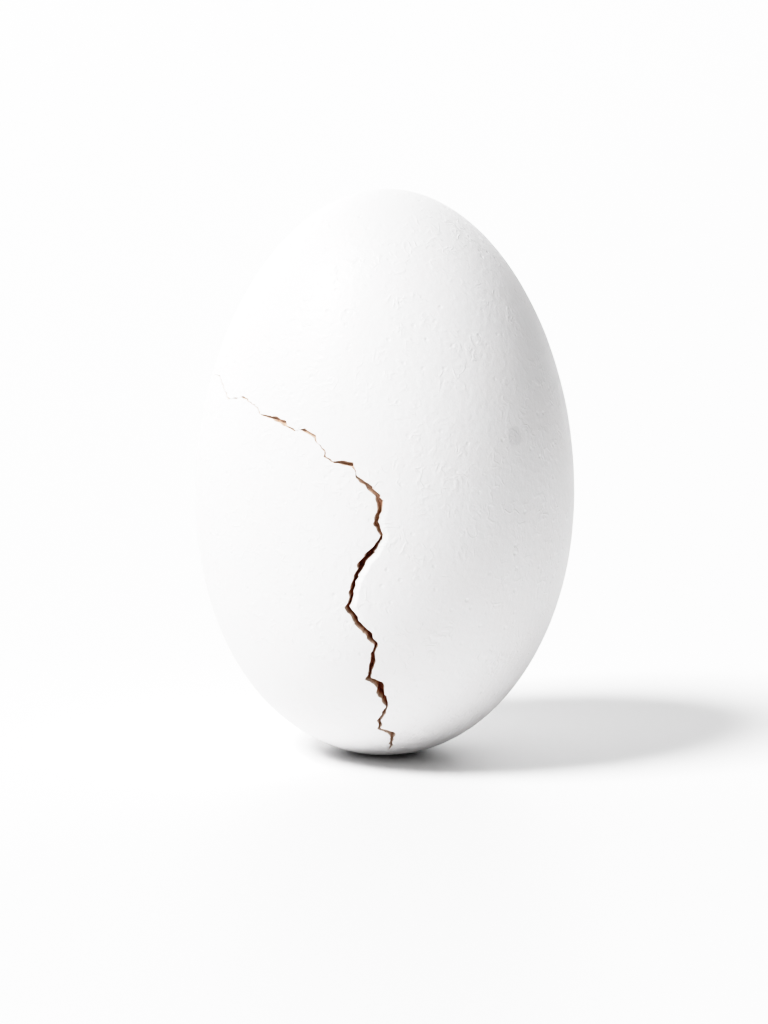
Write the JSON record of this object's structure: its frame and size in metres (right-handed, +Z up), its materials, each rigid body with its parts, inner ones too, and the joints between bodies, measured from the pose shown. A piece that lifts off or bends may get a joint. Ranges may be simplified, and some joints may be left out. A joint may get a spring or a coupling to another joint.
{
  "type": "cracked hen's egg",
  "caption": "Whole white hen's egg standing upright on its blunt end, with one jagged crack running from the left side to the front and down to its base.",
  "frame": {"origin": "centre of the small flat spot on the blunt end, on the surface that the egg stands on", "axes": "+Z up along the egg's long axis to its slimmer end; -Y is the front, where the crack is widest; +X is to the right of someone who looks at the front"},
  "size_m": [0.0412, 0.0412, 0.0617],
  "materials": {
    "shell": "matte"
  },
  "bodies": {
    "root": {"egg": "shell"}
  },
  "joints": []
}
